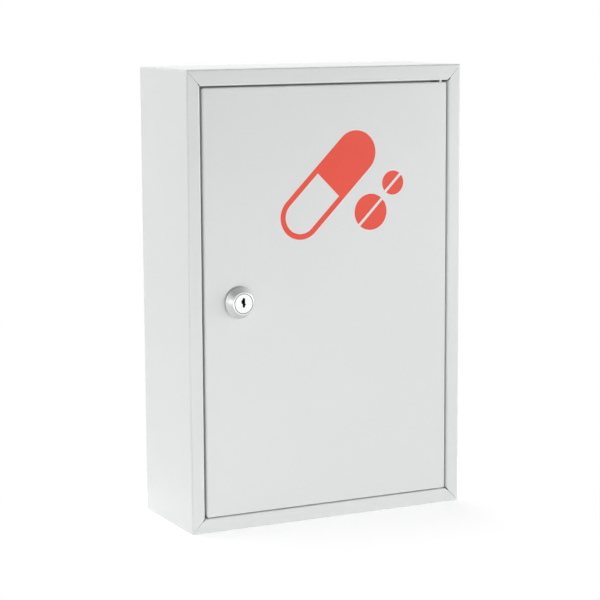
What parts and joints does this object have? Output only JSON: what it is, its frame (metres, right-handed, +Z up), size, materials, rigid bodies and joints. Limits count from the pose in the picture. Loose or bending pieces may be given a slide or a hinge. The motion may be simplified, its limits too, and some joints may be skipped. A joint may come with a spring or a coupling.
{
  "type": "lockable medicine cabinet",
  "caption": "Wall-mounted folded sheet-steel cabinet with an inset door on pivot pins, a keyed cam lock with a conical trim ring, and shelves inside.",
  "frame": {"origin": "centre of the face that lies on the wall", "axes": "+Y out of the back, into the wall; +Z up; +X to the right as seen from the front"},
  "size_m": [0.3, 0.1254, 0.45],
  "materials": {
    "cabinet_paint": "glossy white powder coat on sheet steel",
    "rivet_aluminium": "plain blind rivets",
    "zinc_plate": "bright zinc plate",
    "nylon": "natural nylon",
    "satin_chrome": "satin chrome plate",
    "wafer_brass": "stamped brass"
  },
  "bodies": {
    "cabinet": {"cabinet_wrapper": "cabinet_paint", "back_panel": "cabinet_paint", "lower_shelf": "cabinet_paint", "upper_shelf": "cabinet_paint", "lower_shelf_angles": "cabinet_paint", "upper_shelf_angles": "cabinet_paint", "lower_shelf_rivets": "rivet_aluminium", "upper_shelf_rivets": "rivet_aluminium", "upper_hinge_pin": "zinc_plate", "lower_hinge_pin": "zinc_plate"},
    "door": {"door_panel": "cabinet_paint", "upper_hinge_bush": "nylon", "lower_hinge_bush": "nylon", "lock_trim_ring": "satin_chrome", "lock_housing": "satin_chrome", "lock_washer": "zinc_plate", "lock_nut": "zinc_plate"},
    "latch": {"lock_plug": "satin_chrome", "lock_wafers": "wafer_brass", "lock_stop_washer": "zinc_plate", "lock_cam": "zinc_plate", "cam_spring_washer": "zinc_plate", "cam_screw": "zinc_plate"}
  },
  "joints": [
    {"name": "door_hinge", "type": "hinge", "parent": "cabinet", "child": "door", "pos_m": [0.1288, -0.11, 0], "axis": [0, 0, 1], "range_deg": [0, 110]},
    {"name": "lock_turn", "type": "hinge", "parent": "door", "child": "latch", "pos_m": [-0.0973, -0.115, 0.0005], "axis": [0, 1, 0], "range_deg": [0, 90]}
  ]
}
